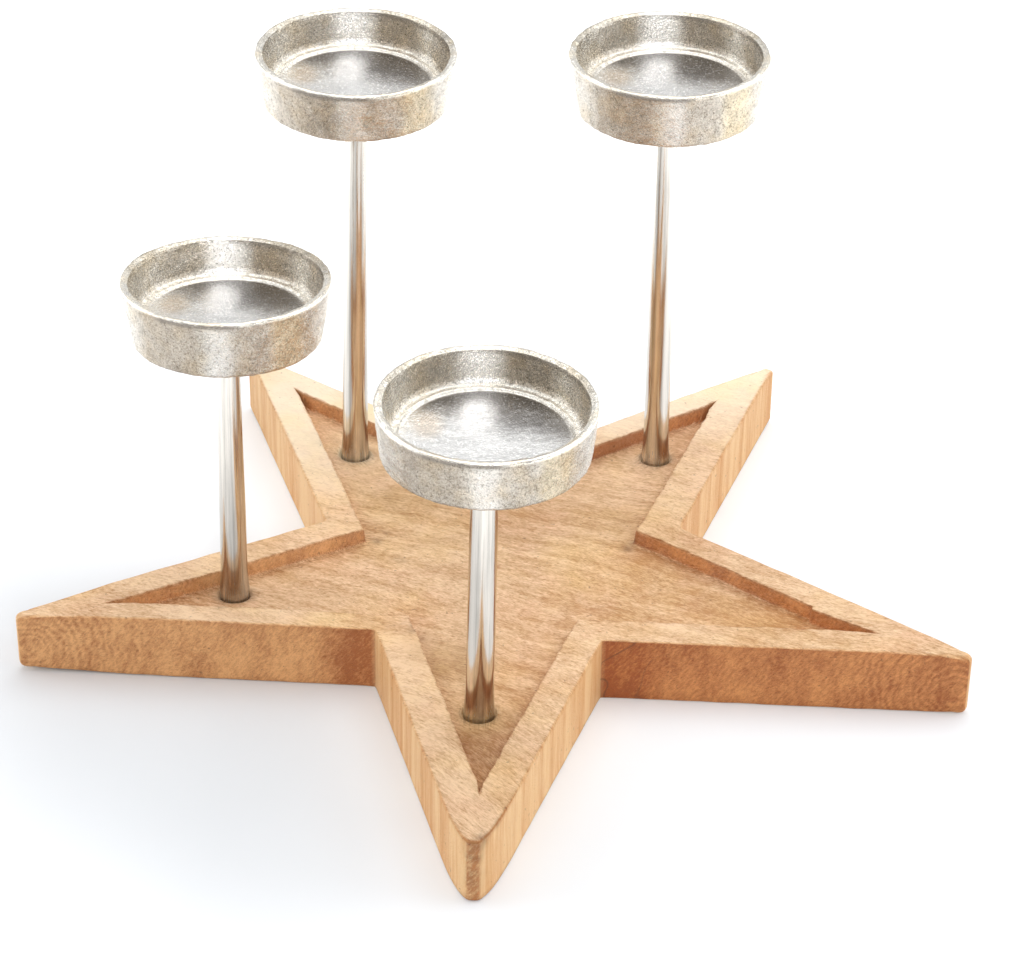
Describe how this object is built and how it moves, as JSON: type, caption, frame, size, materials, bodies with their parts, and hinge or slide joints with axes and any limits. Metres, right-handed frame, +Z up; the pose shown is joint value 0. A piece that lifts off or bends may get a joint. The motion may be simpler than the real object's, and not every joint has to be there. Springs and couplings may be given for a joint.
{
  "type": "star candle holder",
  "caption": "Wooden star with a raised border and a routed recess, carrying shallow cast metal candle cups on slender polished metal stems of different heights.",
  "frame": {"origin": "centre of the star on its flat underside, on the surface that it stands on", "axes": "+Z up, -Y towards the front point that carries a short holder, +X towards the right point that carries none"},
  "size_m": [0.214, 0.1989, 0.1221],
  "materials": {
    "mango_wood": "pale honey-coloured solid wood, sanded and waxed, with saw and chisel marks",
    "cast_aluminium": "sand cast, rough outside and in, with a smoother floor and a rounded, buffed rim",
    "polished_nickel": "polished nickel plate over steel rod, faint marks along it",
    "zinc_steel": "zinc plated steel hardware"
  },
  "bodies": {
    "root": {"star_base": "mango_wood", "front_cup": "cast_aluminium", "front_stem": "polished_nickel", "front_stud": "zinc_steel", "front_washer": "zinc_steel", "front_nut": "zinc_steel", "left_cup": "cast_aluminium", "left_stem": "polished_nickel", "left_stud": "zinc_steel", "left_washer": "zinc_steel", "left_nut": "zinc_steel", "rear_left_cup": "cast_aluminium", "rear_left_stem": "polished_nickel", "rear_left_stud": "zinc_steel", "rear_left_washer": "zinc_steel", "rear_left_nut": "zinc_steel", "rear_right_cup": "cast_aluminium", "rear_right_stem": "polished_nickel", "rear_right_stud": "zinc_steel", "rear_right_washer": "zinc_steel", "rear_right_nut": "zinc_steel"}
  },
  "joints": []
}
